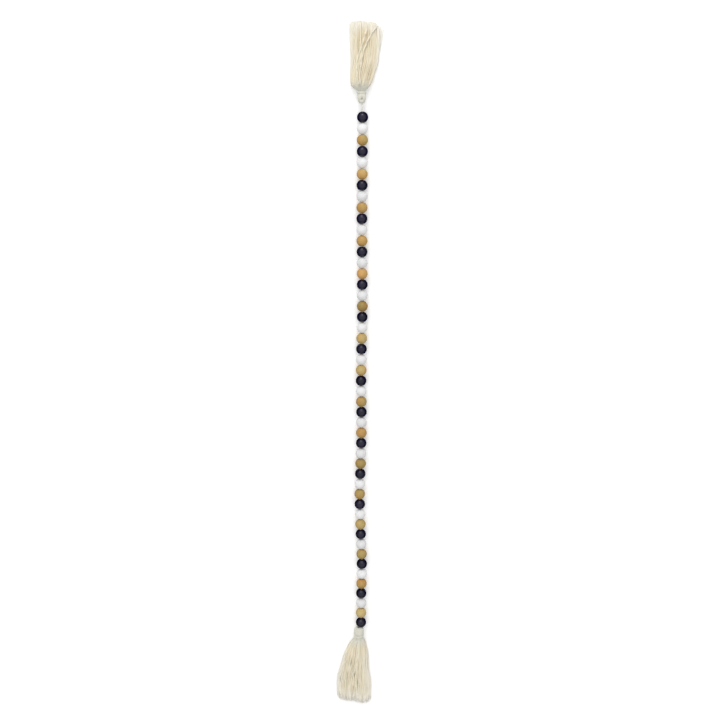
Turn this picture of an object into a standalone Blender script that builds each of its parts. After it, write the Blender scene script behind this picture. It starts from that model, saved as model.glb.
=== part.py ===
"""Wood bead garland: painted and natural balls threaded on a cotton cord, a yarn tassel at each end.

It lies straight on a surface at z = 0. +Y runs along the garland to its upper tassel, +X is to the
right and +Z up. The origin is where the middle bead touches the surface. Lengths are in metres.
"""
import math
import random
from collections import namedtuple

import bmesh
import bpy
from mathutils import Vector

# Beads, counted from the upper end
BEAD_COUNT = 49
BEAD_DIAMETER = 0.0160
BORE_DIAMETER = 0.0040
BEAD_GAP = 0.00035
BEAD_SIDES = 12
BEAD_BANDS = 5
BEAD_FINISHES = ("navy", "white", "natural")

# Cord through the beads, and the stretch of it that shows before the upper tassel
CORD_DIAMETER = 0.0024
CORD_SHOWN = 0.0116
CORD_BEVEL_STEPS = 2

# Tassels: a head, a neck that the binding is wound round, and a skirt of yarn locks
PIECE_GAP = 0.0003
NECK_START = 0.0120
NECK_END = 0.0165
NECK_ROUNDNESS = 0.7
LOCK_COLUMNS = 10
LOCK_ROWS = 6
LOCK_FILL = 0.76
LOCK_WANDER = 0.04
ROW_STAGGER = 0.25
SHOULDER_STAGGER = 0.5
SKIRT_SIDE_DROP = 0.36
TIP_UNEVENNESS = 0.0025

# Waves across the skirt, which bunch its locks and make it lumpy towards its ends
BUNCHING = 0.035
BUNCH_WAVES = 2
LUMPS = 0.08
LUMP_WAVES = 3
WAVE_LEAN_LENGTH = 0.16

# Bindings: turns of yarn side by side round the neck
BINDING_THICKNESS = 0.0025
BINDING_TURNS = 3
BINDING_SIDES = 20
TURN_DEPTH = 0.0004

SHARP_ANGLE = math.radians(50)

# Sideways shift of the row at some of its beads
Shift = namedtuple("Shift", "bead shift")
ROW_SHIFTS = (
    Shift(1, 0.0022),
    Shift(5, 0.0017),
    Shift(10, 0.0012),
    Shift(15, 0.0017),
    Shift(19, 0.0019),
    Shift(22, 0.0006),
    Shift(25, 0.0),
    Shift(28, 0.0008),
    Shift(31, 0.0004),
    Shift(34, -0.0011),
    Shift(36, -0.0022),
    Shift(38, -0.0013),
    Shift(40, -0.0003),
    Shift(43, 0.0016),
    Shift(46, 0.0003),
    Shift(49, 0.0),
)

# Sections of a tassel: the distance from its tip at the cord, its two sides, its underside and its top
Section = namedtuple("Section", "along left right low high")
# Where the cut ends of the yarn lie, from the left side, -1, to the right side, 1
YarnEnd = namedtuple("YarnEnd", "across along")
# The sweep is how far the topmost locks lean aside at their ends, as a share of the skirt's half width
Tassel = namedtuple("Tassel", "name head neck_centre neck_radius skirt yarn_ends sweep seed")

TOP_TASSEL = Tassel(
    name="top",
    head=(
        Section(0.0000, -0.0032, 0.0044, 0.0036, 0.0108),
        Section(0.0030, -0.0044, 0.0058, 0.0018, 0.0122),
        Section(0.0070, -0.0051, 0.0068, 0.0006, 0.0134),
        Section(0.0105, -0.0054, 0.0072, 0.0003, 0.0137),
        Section(0.0117, -0.0048, 0.0066, 0.0010, 0.0130),
    ),
    neck_centre=0.0007,
    neck_radius=0.0043,
    skirt=(
        Section(0.0218, -0.0128, 0.0112, 0.0, 0.0152),
        Section(0.0270, -0.0150, 0.0148, 0.0, 0.0160),
        Section(0.0400, -0.0150, 0.0192, 0.0, 0.0150),
        Section(0.0580, -0.0140, 0.0246, 0.0, 0.0132),
        Section(0.0840, -0.0148, 0.0270, 0.0, 0.0112),
        Section(0.1080, -0.0152, 0.0254, 0.0, 0.0096),
    ),
    yarn_ends=(
        YarnEnd(-1.0, 0.1050),
        YarnEnd(-0.8, 0.1085),
        YarnEnd(-0.4, 0.1100),
        YarnEnd(0.3, 0.1100),
        YarnEnd(0.7, 0.1066),
        YarnEnd(1.0, 0.0990),
    ),
    sweep=0.20,
    seed=8,
)

BOTTOM_TASSEL = Tassel(
    name="bottom",
    head=(
        Section(0.0000, -0.0086, 0.0028, 0.0022, 0.0132),
        Section(0.0020, -0.0101, 0.0042, 0.0008, 0.0146),
        Section(0.0065, -0.0106, 0.0044, 0.0001, 0.0151),
        Section(0.0105, -0.0108, 0.0042, 0.0001, 0.0151),
        Section(0.0117, -0.0102, 0.0036, 0.0008, 0.0144),
    ),
    neck_centre=-0.0034,
    neck_radius=0.0050,
    skirt=(
        Section(0.0230, -0.0156, 0.0070, 0.0, 0.0158),
        Section(0.0300, -0.0198, 0.0085, 0.0, 0.0162),
        Section(0.0450, -0.0262, 0.0112, 0.0, 0.0152),
        Section(0.0680, -0.0328, 0.0121, 0.0, 0.0132),
        Section(0.0930, -0.0376, 0.0154, 0.0, 0.0112),
        Section(0.1200, -0.0368, 0.0152, 0.0, 0.0096),
    ),
    yarn_ends=(
        YarnEnd(-1.0, 0.1140),
        YarnEnd(-0.8, 0.1200),
        YarnEnd(-0.4, 0.1220),
        YarnEnd(0.1, 0.1222),
        YarnEnd(0.35, 0.1262),
        YarnEnd(0.8, 0.1262),
        YarnEnd(1.0, 0.1205),
    ),
    sweep=-0.08,
    seed=7,
)

BEAD_RADIUS = BEAD_DIAMETER / 2
BORE_RADIUS = BORE_DIAMETER / 2
RIM_REACH = math.sqrt(BEAD_RADIUS ** 2 - BORE_RADIUS ** 2)
PITCH = 2 * RIM_REACH + BEAD_GAP
MIDDLE_BEAD = (BEAD_COUNT + 1) // 2
ROW_END = (MIDDLE_BEAD - 1) * PITCH + RIM_REACH


def clear_scene():
    for item in list(bpy.data.objects):
        bpy.data.objects.remove(item, do_unlink=True)


def finish_material(name, colour, roughness):
    material = bpy.data.materials.new(name)
    material.use_nodes = True
    shader = material.node_tree.nodes["Principled BSDF"]
    shader.inputs["Base Color"].default_value = (*colour, 1.0)
    shader.inputs["Roughness"].default_value = roughness
    shader.inputs["Metallic"].default_value = 0.0
    return material


def add_object(name, data, material, location=(0.0, 0.0, 0.0)):
    item = bpy.data.objects.new(name, data)
    item.location = location
    bpy.context.scene.collection.objects.link(item)
    if material.name not in data.materials:
        data.materials.append(material)
    return item


def closed_mesh(name, surface):
    """Turn a bmesh into a mesh with its faces pointing out."""
    bmesh.ops.recalc_face_normals(surface, faces=surface.faces)
    mesh = bpy.data.meshes.new(name)
    surface.to_mesh(mesh)
    surface.free()
    mesh.shade_smooth()
    mesh.set_sharp_from_angle(angle=SHARP_ANGLE)
    return mesh


def between(start, end, share):
    return start + (end - start) * share


def read_table(rows, place):
    """Read a straight-lined curve through rows of (place, value)."""
    for (place_a, value_a), (place_b, value_b) in zip(rows, rows[1:]):
        if place <= place_b:
            share = max(0.0, (place - place_a) / (place_b - place_a))
            return between(value_a, value_b, share)
    return rows[-1][1]


def eased_shift(place):
    """The row's sideways shift, averaged over a bead to each side."""
    before, here, after = (read_table(ROW_SHIFTS, place + step) for step in (-1, 0, 1))
    return (before + 2 * here + after) / 4


def row_point(place):
    """Point on the row's centre line; whole places are bead centres."""
    shift = eased_shift(place) - eased_shift(MIDDLE_BEAD)
    return Vector((shift, (MIDDLE_BEAD - place) * PITCH, BEAD_RADIUS))


def turned_ring(name, profile, sides):
    """Turn a closed profile of (radius, along) points round local Y, with a facet facing straight down.

    The facets, not their corners, touch the round form.
    """
    surface = bmesh.new()
    step = 2 * math.pi / sides
    corner_scale = 1 / math.cos(step / 2)
    rings = []
    for side in range(sides):
        angle = (side + 0.5) * step
        rings.append([
            surface.verts.new((radius * corner_scale * math.sin(angle), along,
                               -radius * corner_scale * math.cos(angle)))
            for radius, along in profile
        ])
    for side in range(sides):
        ring, following = rings[side], rings[(side + 1) % sides]
        for spot in range(len(profile)):
            after = (spot + 1) % len(profile)
            surface.faces.new((ring[spot], ring[after], following[after], following[spot]))
    return closed_mesh(name, surface)


def bead_profile():
    """Half section of a drilled ball whose middle band lies flat on the surface."""
    rim_angle = math.asin(BORE_RADIUS / BEAD_RADIUS)
    band = (math.pi - 2 * rim_angle) / BEAD_BANDS
    reach = BEAD_RADIUS / math.cos(band / 2)
    profile = [(BORE_RADIUS, RIM_REACH)]
    for corner in range(1, BEAD_BANDS):
        angle = rim_angle + corner * band
        profile.append((reach * math.sin(angle), reach * math.cos(angle)))
    profile.append((BORE_RADIUS, -RIM_REACH))
    return profile


def add_beads(materials):
    meshes = {}
    for finish in BEAD_FINISHES:
        meshes[finish] = turned_ring("bead_" + finish, bead_profile(), BEAD_SIDES)
    for number in range(1, BEAD_COUNT + 1):
        finish = BEAD_FINISHES[(number - 1) % len(BEAD_FINISHES)]
        bead = add_object(f"bead_{number:02d}", meshes[finish], materials[finish], row_point(number))
        run = row_point(number - 0.5) - row_point(number + 0.5)
        bead.rotation_euler.z = -math.atan2(run.x, run.y)


def add_cord(material):
    """One cord from the upper tassel's head, through every bead, to the lower tassel's head."""
    points = [row_point(number) for number in range(1, BEAD_COUNT + 1)]
    upper_end = Vector((TOP_TASSEL.neck_centre, ROW_END + CORD_SHOWN, BEAD_RADIUS))
    lower_end = Vector((points[-1].x, -ROW_END, BEAD_RADIUS))
    curve = bpy.data.curves.new("cord", "CURVE")
    curve.dimensions = "3D"
    curve.bevel_depth = CORD_DIAMETER / 2
    curve.bevel_resolution = CORD_BEVEL_STEPS
    curve.use_fill_caps = True
    spline = curve.splines.new("POLY")
    route = [upper_end, *points, lower_end]
    spline.points.add(len(route) - 1)
    for spot, point in zip(spline.points, route):
        spot.co = (*point, 1.0)
    add_object("cord", curve, material)


def rounded(across, up, roundness):
    """Carry a point of the square from -1 to 1 towards the unit disc, which roundness 1 reaches."""
    return (across * math.sqrt(1 - roundness * up ** 2 / 2),
            up * math.sqrt(1 - roundness * across ** 2 / 2))


def outline_of_square():
    """Corners of the lock cells round the edge of the square, in order."""
    columns = [-1 + 2 * column / LOCK_COLUMNS for column in range(LOCK_COLUMNS + 1)]
    rows = [-1 + 2 * row / LOCK_ROWS for row in range(LOCK_ROWS + 1)]
    return ([(across, -1.0) for across in columns[:-1]] + [(1.0, up) for up in rows[:-1]]
            + [(across, 1.0) for across in reversed(columns[1:])]
            + [(-1.0, up) for up in reversed(rows[1:])])


def section_point(section, across, up, roundness):
    """Point of a section of the head or the neck, from its place in the square."""
    share_x, share_z = rounded(across, up, roundness)
    return Vector(((section.left + section.right) / 2 + share_x * (section.right - section.left) / 2,
                   section.along,
                   (section.low + section.high) / 2 + share_z * (section.high - section.low) / 2))


def join_rings(surface, ring, following):
    """Join two rings with triangles whose diagonals all run the same way."""
    for spot in range(len(ring)):
        after = (spot + 1) % len(ring)
        surface.faces.new((ring[spot], ring[after], following[after]))
        surface.faces.new((ring[spot], following[after], following[spot]))


def lock_centre(column, row):
    """Middle of a lock's cell in the square."""
    return -1 + (2 * column + 1) / LOCK_COLUMNS, -1 + (2 * row + 1) / LOCK_ROWS


def lock_cell(column, row, fill):
    """Four corners of a lock's cell in the square, shrunk to the given share of the cell."""
    centre_across, centre_up = lock_centre(column, row)
    half_across = fill / LOCK_COLUMNS
    half_up = fill / LOCK_ROWS
    return [(centre_across + side * half_across, centre_up + level * half_up)
            for side, level in ((-1, -1), (1, -1), (1, 1), (-1, 1))]


def cell_key(across, up):
    """Whole numbers that tell the corners of the cells apart."""
    return round((across + 1) * LOCK_COLUMNS), round((up + 1) * LOCK_ROWS)


def binding_radius(tassel):
    return tassel.neck_radius + BINDING_THICKNESS


def neck_sections(tassel):
    """Both ends of the neck, at the height at which its binding rests on the surface."""
    height = binding_radius(tassel)
    return [Section(along, tassel.neck_centre - tassel.neck_radius, tassel.neck_centre + tassel.neck_radius,
                    height - tassel.neck_radius, height + tassel.neck_radius)
            for along in (NECK_START, NECK_END)]


def skirt_point(tassel, section, across, up):
    """Point of the skirt's section, which is flat below, and crowned and a little lumpy above."""
    centre = (section.left + section.right) / 2
    half = (section.right - section.left) / 2
    grown = (section.along - NECK_END) / (tassel.skirt[-1].along - NECK_END)
    lean = tassel.sweep * max(up, 0.0) * grown
    swept = across * (1 - abs(lean)) + lean
    wave_lean = section.along / WAVE_LEAN_LENGTH
    bunched = swept + BUNCHING * math.sin(BUNCH_WAVES * math.pi * (swept + wave_lean))
    crown = 1 - SKIRT_SIDE_DROP * swept ** 2
    lumps = 1 + LUMPS * grown * math.sin(LUMP_WAVES * math.pi * (swept - wave_lean))
    return Vector((centre + half * bunched, section.along, section.high * crown * lumps * (up + 1) / 2))


def lock_sections(tassel, column, row, chance):
    """Corners of one lock at each section of the skirt, the last one at its own cut end."""
    centre_across, centre_up = lock_centre(column, row)
    stagger = ROW_STAGGER * (1 if row % 2 else -1)
    quads = []
    for number, section in enumerate(tassel.skirt):
        share = SHOULDER_STAGGER if number == 0 else 1.0
        wander = (stagger * share + chance.uniform(-LOCK_WANDER, LOCK_WANDER)) * 2 / LOCK_COLUMNS
        quad = []
        for across, up in lock_cell(column, row, LOCK_FILL):
            level = -1.0 if row == 0 and up < centre_up else up
            quad.append(skirt_point(tassel, section, across + wander, level))
        quads.append(quad)
    end = read_table(tassel.yarn_ends, centre_across) + chance.uniform(-TIP_UNEVENNESS, 0.0)
    share = (end - quads[-2][0].y) / (quads[-1][0].y - quads[-2][0].y)
    quads[-1] = [between(start, last, share) for start, last in zip(quads[-2], quads[-1])]
    return quads


def add_tassel(tassel, anchor_y, direction, material):
    """Head, neck and skirt of one tassel, in one piece, because the locks are rooted in the neck."""
    surface = bmesh.new()
    chance = random.Random(tassel.seed)

    def add_vert(point):
        return surface.verts.new((point.x, direction * point.y, point.z))

    neck_start, neck_end = neck_sections(tassel)
    outlines = [(section, 1.0) for section in tassel.head]
    outlines += [(neck_start, NECK_ROUNDNESS), (neck_end, NECK_ROUNDNESS)]
    rings = [[add_vert(section_point(section, *place, roundness)) for place in outline_of_square()]
             for section, roundness in outlines]
    surface.faces.new(rings[0])
    for ring, following in zip(rings, rings[1:]):
        join_rings(surface, ring, following)

    corners = {cell_key(*place): vert for place, vert in zip(outline_of_square(), rings[-1])}
    for column in range(LOCK_COLUMNS):
        for row in range(LOCK_ROWS):
            frame = []
            for place in lock_cell(column, row, 1.0):
                key = cell_key(*place)
                if key not in corners:
                    corners[key] = add_vert(section_point(neck_end, *place, NECK_ROUNDNESS))
                frame.append(corners[key])
            previous = [add_vert(section_point(neck_end, *place, NECK_ROUNDNESS))
                        for place in lock_cell(column, row, LOCK_FILL)]
            join_rings(surface, frame, previous)
            for quad in lock_sections(tassel, column, row, chance):
                verts = [add_vert(corner) for corner in quad]
                join_rings(surface, previous, verts)
                previous = verts
            surface.faces.new(previous)
    mesh = closed_mesh("tassel_" + tassel.name, surface)
    add_object("tassel_" + tassel.name, mesh, material, (0.0, anchor_y, 0.0))


def binding_profile(tassel):
    """Half section of the turns of yarn, which clear the corners of the neck."""
    outer = binding_radius(tassel)
    inner = tassel.neck_radius * math.sqrt(2 - NECK_ROUNDNESS) + PIECE_GAP
    half_length = (NECK_END - NECK_START) / 2 - PIECE_GAP
    turn = 2 * half_length / BINDING_TURNS
    profile = [(inner, half_length), (inner, -half_length)]
    for number in range(BINDING_TURNS):
        start = -half_length + number * turn
        profile.append((outer - TURN_DEPTH, start))
        profile.append((outer, start + turn / 2))
    profile.append((outer - TURN_DEPTH, half_length))
    return profile


def add_binding(tassel, anchor_y, direction, material):
    mesh = turned_ring("binding_" + tassel.name, binding_profile(tassel), BINDING_SIDES)
    middle = (NECK_START + NECK_END) / 2
    add_object("binding_" + tassel.name, mesh, material,
               (tassel.neck_centre, anchor_y + direction * middle, binding_radius(tassel)))


def main():
    clear_scene()
    bead_materials = {
        "navy": finish_material("navy_paint", (0.012, 0.011, 0.024), 0.38),
        "white": finish_material("white_paint", (0.83, 0.83, 0.84), 0.5),
        "natural": finish_material("natural_wood", (0.55, 0.36, 0.13), 0.5),
    }
    cord_yarn = finish_material("cord_yarn", (0.78, 0.76, 0.72), 0.9)
    tassel_yarn = finish_material("tassel_yarn", (0.78, 0.70, 0.53), 0.95)
    add_beads(bead_materials)
    add_cord(cord_yarn)
    ends = (
        (TOP_TASSEL, ROW_END + CORD_SHOWN + PIECE_GAP, 1),
        (BOTTOM_TASSEL, -ROW_END - PIECE_GAP, -1),
    )
    for tassel, anchor_y, direction in ends:
        add_tassel(tassel, anchor_y, direction, tassel_yarn)
        add_binding(tassel, anchor_y, direction, cord_yarn)


main()
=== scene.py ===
"""Looks of a wood bead garland lying straight: turned beads, plied cotton cord and two yarn tassels."""
import math
import random
from collections import namedtuple

import bpy
import numpy as np
from mathutils import Euler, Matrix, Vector


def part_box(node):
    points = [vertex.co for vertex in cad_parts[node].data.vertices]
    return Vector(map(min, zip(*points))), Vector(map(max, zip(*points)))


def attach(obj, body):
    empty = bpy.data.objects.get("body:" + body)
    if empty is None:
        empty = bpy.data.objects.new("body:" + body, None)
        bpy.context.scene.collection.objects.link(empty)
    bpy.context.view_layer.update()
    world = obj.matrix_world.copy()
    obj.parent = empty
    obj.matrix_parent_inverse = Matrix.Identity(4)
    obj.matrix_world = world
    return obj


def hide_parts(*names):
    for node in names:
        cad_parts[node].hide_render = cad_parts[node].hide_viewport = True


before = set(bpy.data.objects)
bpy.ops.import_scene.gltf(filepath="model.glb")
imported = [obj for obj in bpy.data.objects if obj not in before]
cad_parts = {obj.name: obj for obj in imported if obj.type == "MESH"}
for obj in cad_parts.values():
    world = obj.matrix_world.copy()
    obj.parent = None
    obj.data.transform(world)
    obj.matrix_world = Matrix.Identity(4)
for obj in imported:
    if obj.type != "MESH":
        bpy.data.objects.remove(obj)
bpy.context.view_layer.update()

# Camera: the photograph is 720 pixels square, seen from above with the upper end nearer
FRAME_PIXELS = 720
FOCAL_PIXELS = 1000
SENSOR_WIDTH = 36.0
CAMERA_TILT = math.radians(9.747)
CAMERA_PLACE = Vector((-0.0016, 0.2810, 1.4631))
CAMERA_NEAREST = 0.01

# Light: a sky brightest overhead, a broad soft light, a small soft box beyond the upper end and a pale floor
SKY_GLOW = 1.02
SKY_EDGE_LOW = 0.05
SKY_EDGE_HIGH = 0.75
BACKDROP_GLOW = 0.95
FLOOR_GLOW = 0.15
FLOOR_HALF_SIZE = 6.0
FLOOR_SPECKLE_SCALE = 60.0
FLOOR_COLOURS = ((0.955, 0.955, 0.955), (0.97, 0.97, 0.97))
SOFT_LIGHT_TOWARDS = Vector((-0.10, 0.76, 0.64))
SOFT_LIGHT_SPREAD = math.radians(52)
SOFT_LIGHT_POWER = 0.80
SOFT_BOX_PLACE = Vector((-0.06, 1.10, 0.46))
SOFT_BOX_TARGET = Vector((0.0, 0.25, 0.0))
SOFT_BOX_SIZE = (0.24, 0.16)
SOFT_BOX_POWER = 1.2

# Beads
BEAD_COUNT = 49
BEAD_RADIUS = 0.0080
BORE_RADIUS = 0.0020
RIM_ROUNDING = 0.00045
RIM_WEAR_DROP = 0.35
RIM_WEAR_ANGLE = 0.12
BEAD_SIDES = 44
HALF_BALL_STEPS = 11
RIM_STEPS = 4
BEAD_SHRINK = 0.010
BEAD_LEAN = math.radians(1.5)
BEAD_FINISHES = ("navy", "white", "natural")
BEAD_SEED = 12720

# Where a bead's blank lay in the wood: away from the heart, beside it and along the trunk
GRAIN_PLACES = ((0.015, 0.030), (0.0, 0.02), (-1.0, 1.0))

# Cord of three plies
CORD_RADIUS = 0.0012
CORD_PLIES = 3
PLY_RADIUS = 0.00062
PLY_TURN = 0.0085
PLY_POINTS_PER_TURN = 9
CORD_TUCK = 0.0022

# Tassel yarn
YARN_RADIUS = 0.00064
NECK_YARN_RADIUS = 0.00032
TIP_YARN_RADIUS = 0.00044
YARN_TURN = 0.0058
WISP_RADIUS = 0.00032
FULL_YARN_REACH = 0.030
YARN_SIDES = 5
YARN_POINTS = 22
YARN_CROWDING = 1.25
YARN_WAVES = (0.0002, 0.0005)
YARN_WAVE_LENGTHS = (0.024, 0.050)
LENGTH_SPREAD = 0.0030
MIDDLE_TONE = 0.5

# Yarns are laid out by their place across the tassel and up it, each from -1 to 1
YARN_COLUMNS = 46
YARN_ROWS = 8
ROW_STAGGER = 0.25
COLUMN_JITTER = 0.22
ROW_JITTER = 0.35
INNER_LIMIT = 0.98
SIDE_LIMIT = 1.02
CROWN_LIMIT = 1.1
SIDE_DROP = 0.36
SIDE_ROUNDING = 0.05

# Yarns over the head: they swell and narrow between these of its sections, counted from the cord
HEAD_YARNS = 46
HEAD_JITTER = 0.15
HEAD_POINTS = 16
HEAD_SWELL = (0.5, 3.5)
HEAD_NARROWING = (4.4, 6.0)
HEAD_INSET = 0.9

# Strands over the skirt: two yarns wound round each other, or one that lies slantwise
STRAND_TURN = 0.024
STRAND_SPACING = 1.12
SURFACE_YARNS = 10
SURFACE_PLACES = (-0.75, 0.60)
SURFACE_LEANS = (0.05, 0.30)
SURFACE_CUTS = (0.0, 0.006)
SURFACE_HEIGHTS = (1.0, 1.06)

# Locks that the yarns gather in: they pull together, wind round each other and sway
LOCK_COLUMNS = 13
LOCK_ROWS = 4
LOCK_PULL = 0.03
LOCK_REACH = 1.05
LOCK_HALF_WIDTH = 0.022
LOCK_HALF_HEIGHT = 0.0068
LOCK_TWISTS = (12.0, 42.0)
LOCK_SWAYS = (0.006, 0.022)
LOCK_SWAY_LENGTHS = (0.055, 0.110)
LOCK_LIFTS = (-0.06, 0.08)
LOCK_TONE_SHARE = 0.5
LOOSE_START = 0.028
LOOSE_END = 0.090

# Hollows press the yarns down from the crown to this place, and part them from the hollow's middle
HOLLOWS_DOWN_TO = -0.4
PARTING_STEEPNESS = 2
PARTING_REACH = 2

# Cotton is greyer over the head and neck, and pales at the sides and towards the cut ends
GREY_REACH = 0.036
# Painted shade: the cotton's tone is deeper from the neck over this reach
SHADED_REACH = 0.062
SHADED_TONE = 0.40
# Painted light: the sides pale as if light passed through the thin yarns; the cut ends pale as frayed cotton
# does, with painted light in it too
PALE_LIT_SIDES = 0.60
PALE_LIT_SIDES_START = 0.60
PALE_ENDS = 0.65
PALE_END_REACH = 0.024

# Fuzz: frayed plies at the cut ends, and fine loose fibres
YARN_PLIES = 3
FRAY_LENGTHS = (0.0008, 0.0022)
FRAY_SPREADS = (0.6, 1.6)
FRAY_WIDTHS = (0.50, 0.52, 0.30)
FRAY_START = 0.4
FRAY_SIDES = 4
FIBRE_RADIUS = 0.00004
FIBRE_SIDES = 3
FIBRE_POINTS = 5
FIBRE_LENGTHS = (0.0015, 0.0045)
FIBRE_LEANS = ((-0.5, 0.5), (-0.3, 0.3), (-0.1, 0.5))
FIBRE_SIDE_BENDS = (-0.5, 0.5)
FIBRE_DROPS = (-0.4, 0.1)
SIDE_FIBRES = 650
SIDE_FIBRES_FROM = 0.25
END_FIBRES = 650
END_FIBRES_FROM = 0.92
LINT_SLOT = 1

# Neck and binding
NECK_START = 0.0120
NECK_END = 0.0165
SHOULDER = 0.0180
NECK_FULLNESS = 0.0004
BINDING_THICKNESS = 0.0025
BINDING_LAYERS = 2
BINDING_TURNS = 3
BINDING_YARN_RADIUS = 0.00062
BINDING_LAYER_STEP = 1.7
BINDING_POINTS_PER_TURN = 28
BINDING_SIDES = 8
BINDING_TUCK = 0.0008
BINDING_TUCK_SHARE = 0.05
BINDING_TONE = 0.1

# Most values of a noise, and of a tone that is mixed with one, lie between these
NOISE_SPREAD = (0.3, 0.7)
TONE_SPREAD = (0.2, 0.8)

# Wood: the scales of its markings, their shares in the colour, and colours from dark tones to pale ones
GRAIN_STRETCH = 0.06
WOOD_FIBRE_SCALE = 2600.0
RING_SCALE = 190.0
RING_DISTORTION = 3.0
WOOD_CLOUD_SCALE = 160.0
WOOD_HUE_SCALE = 30.0
HUE_SPREAD = (0.38, 0.62)
WOOD_TONE_SHARE = 0.68
RING_SHARE = 0.34
STREAK_SHARE = 0.45
RIM_SHARE = 0.5
WOOD_GLOSS = 0.42
WOOD_ROUGHNESS = (0.36, 0.52)
REDDISH_WOOD = ((0.15, (0.37, 0.193, 0.044)), (0.5, (0.575, 0.322, 0.090)), (0.85, (0.76, 0.448, 0.165)))
YELLOWISH_WOOD = ((0.15, (0.31, 0.218, 0.056)), (0.5, (0.485, 0.358, 0.122)), (0.85, (0.64, 0.493, 0.215)))
RING_BROWN = (0.28, 0.145, 0.04)
STREAK_BROWN = (0.25, 0.13, 0.04)
RIM_BROWN = (0.24, 0.13, 0.045)

# Paint: cloudy and faintly rippled, with a ragged edge at the bore that shows the wood
PAINT_TONE_SHARE = 0.5
PAINT_CLOUD_SCALE = 420.0
PAINT_RIPPLE_SCALE = 900.0
PAINT_EDGE = (0.62, 0.80)
PAINT_EDGE_SWING = 0.25
BARE_WOOD = (0.50, 0.33, 0.16)

# Cotton: rounded plies with painted shade in the grooves, and pale lint over them
PLY_ROUNDING = 0.6
GROOVE_EDGE = 0.75
GROOVE_SHADE_SHARE = 0.30
GROOVE_SHADE_TONE = 0.72
COTTON_TONE_SHARE = 0.6
COTTON_PATCH_SCALE = 110.0
LINT_SCALE = 3200.0
LINT_SHARE = 0.22
LINT_WHITE = (0.97, 0.95, 0.90)
FRINGE_CLOUD_SCALE = 700.0
FRINGE_COLOURS = ((0.88, 0.845, 0.74), (0.96, 0.945, 0.89))
COTTON_FINISH = {"Sheen Roughness": 0.5, "Specular IOR Level": 0.2, "Roughness": 0.92}
YARN_SHEEN = 0.25
FRINGE_SHEEN = 0.2

Section = namedtuple("Section", "along left right low high")
YarnEnd = namedtuple("YarnEnd", "across along")
Hollow = namedtuple("Hollow", "along x length width depth parting")
Waypoint = namedtuple("Waypoint", "along x")
Strand = namedtuple("Strand", "route yarns radius up tone")
Lock = namedtuple("Lock", "across up twist sway sway_length sway_start lift tone")
Tassel = namedtuple("Tassel", "name head head_hollows neck_centre neck_radius skirt yarn_ends sweep hollows "
                              "strands deepening tone_spread seed")
Paint = namedtuple("Paint", "name deep light gloss rough_low rough_high")
Cotton = namedtuple("Cotton", "name light deep bleached handled plies turn twist_depth")

NAVY_PAINT = Paint(
    name="navy_paint",
    deep=(0.003, 0.0025, 0.014),
    light=(0.009, 0.0075, 0.028),
    gloss=0.38,
    rough_low=0.15,
    rough_high=0.27,
)
WHITE_PAINT = Paint(
    name="white_paint",
    deep=(0.745, 0.745, 0.75),
    light=(0.865, 0.865, 0.863),
    gloss=0.35,
    rough_low=0.5,
    rough_high=0.7,
)
CORD_COTTON = Cotton(
    name="cord_yarn",
    light=(0.88, 0.87, 0.83),
    deep=(0.78, 0.77, 0.70),
    bleached=(0.88, 0.87, 0.83),
    handled=(0.76, 0.755, 0.66),
    plies=4,
    turn=0.0030,
    twist_depth=0.00010,
)
TASSEL_COTTON = Cotton(
    name="tassel_yarn",
    light=(0.94, 0.885, 0.73),
    deep=(0.86, 0.765, 0.56),
    bleached=(0.92, 0.91, 0.86),
    handled=(0.76, 0.755, 0.66),
    plies=YARN_PLIES,
    turn=YARN_TURN,
    twist_depth=0.00015,
)

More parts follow.
